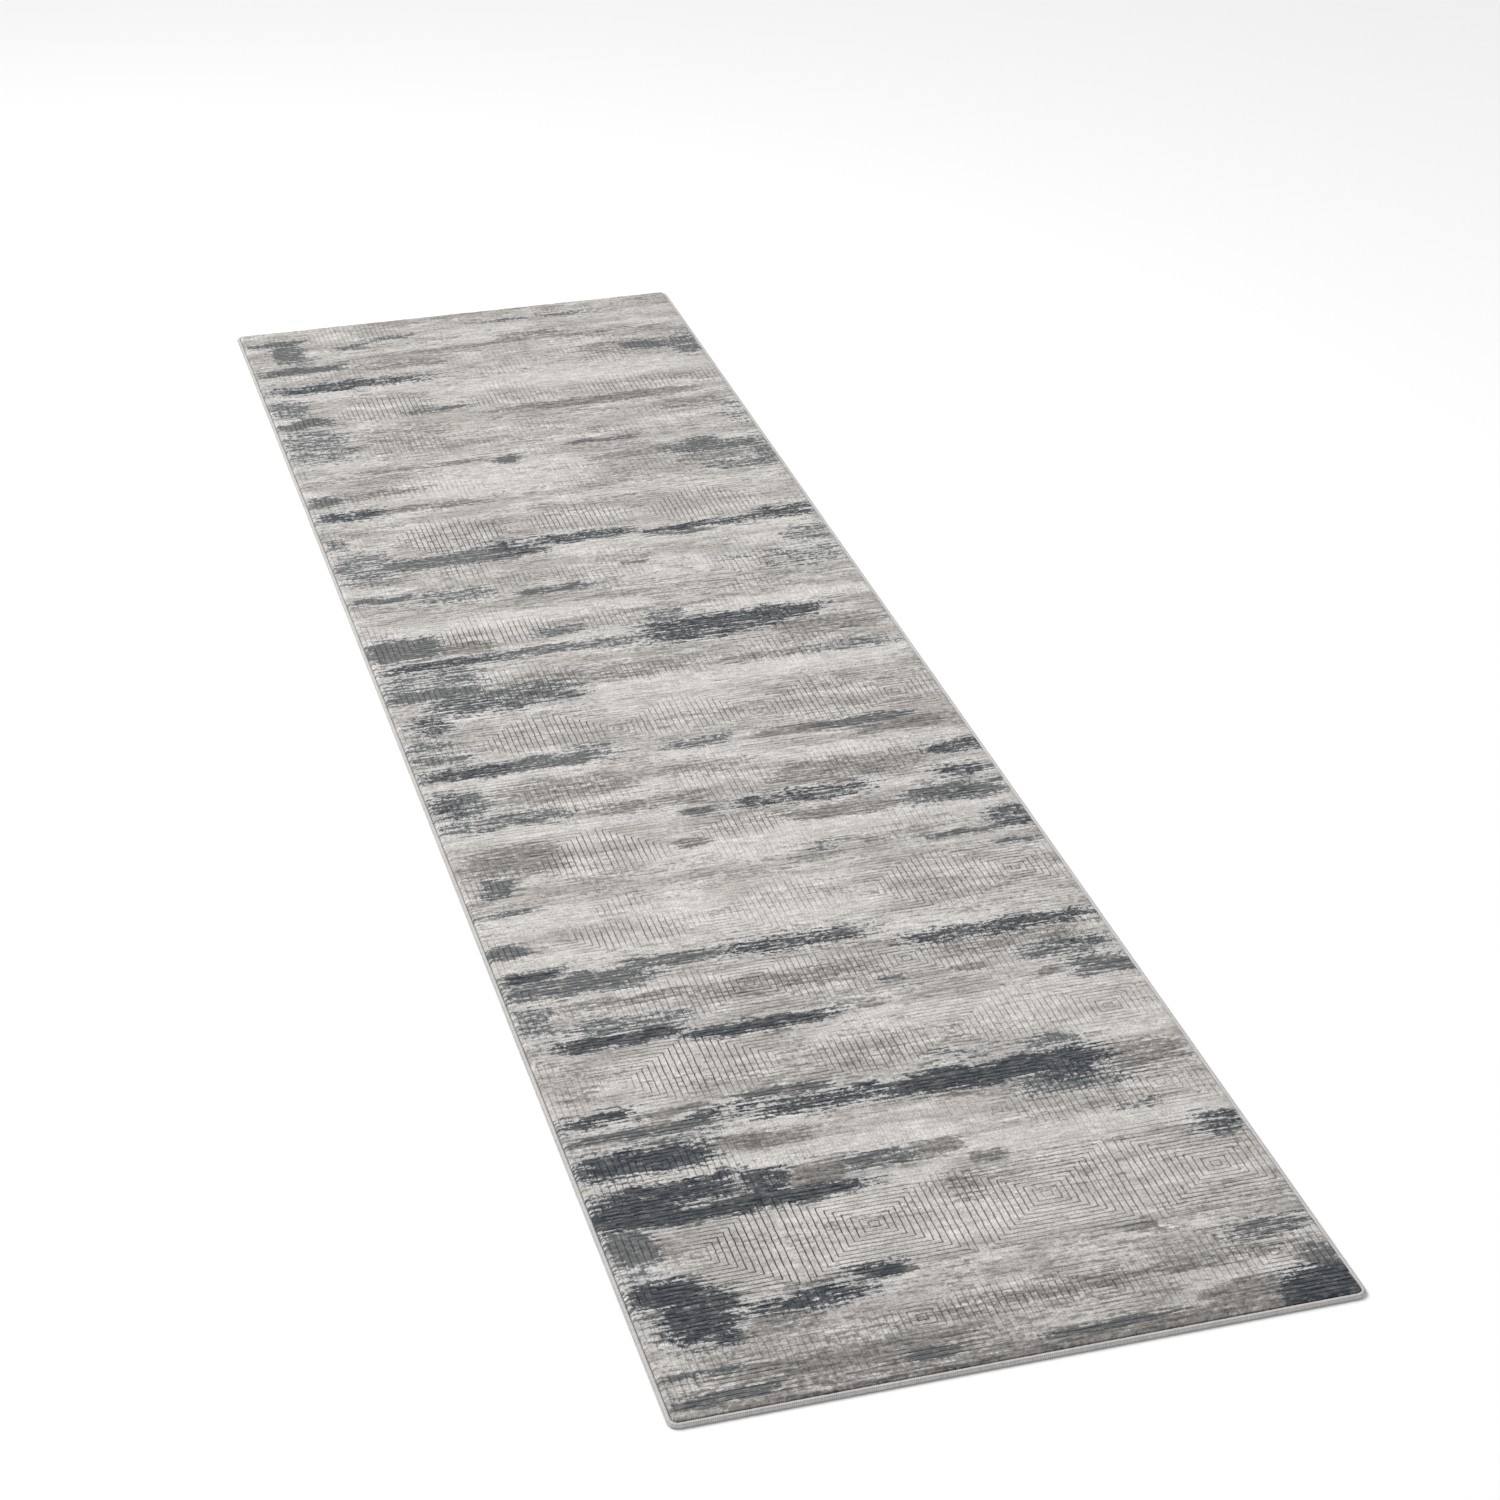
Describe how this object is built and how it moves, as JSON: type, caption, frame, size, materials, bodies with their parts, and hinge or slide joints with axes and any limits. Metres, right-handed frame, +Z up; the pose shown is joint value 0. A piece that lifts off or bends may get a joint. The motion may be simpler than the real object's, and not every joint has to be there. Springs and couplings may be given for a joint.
{
  "type": "runner rug",
  "caption": "Long narrow pile rug with rounded corners, grooves carved in concentric rectangles, and an overlocked edge all round.",
  "frame": {"origin": "on the floor under the middle of the rug", "axes": "+Z up from the floor, +Y along the rug's length towards its far end, +X across its width to the right"},
  "size_m": [0.787, 2.997, 0.0094],
  "materials": {
    "latex_back": "matt latex back-size with the ground weave showing through",
    "ground_yarn": "coarse jute and cotton weft",
    "stuffer_yarn": "flat polyester and cotton warp",
    "low_pile_yarn": "short shaded tufts in the carved grooves",
    "high_pile_yarn": "cut pile in cream, greige, taupe, slate and navy yarns",
    "edge_cord": "soft twisted filler yarn",
    "overlock_yarn": "closely laid grey serging yarn"
  },
  "bodies": {
    "root": {"latex_back": "latex_back", "lower_weft": "ground_yarn", "stuffer_warp": "stuffer_yarn", "upper_weft": "ground_yarn", "low_pile": "low_pile_yarn", "high_pile": "high_pile_yarn", "edge_cord_right": "edge_cord", "overlock_right": "overlock_yarn", "edge_cord_far": "edge_cord", "overlock_far": "overlock_yarn", "edge_cord_left": "edge_cord", "overlock_left": "overlock_yarn", "edge_cord_near": "edge_cord", "overlock_near": "overlock_yarn"}
  },
  "joints": []
}
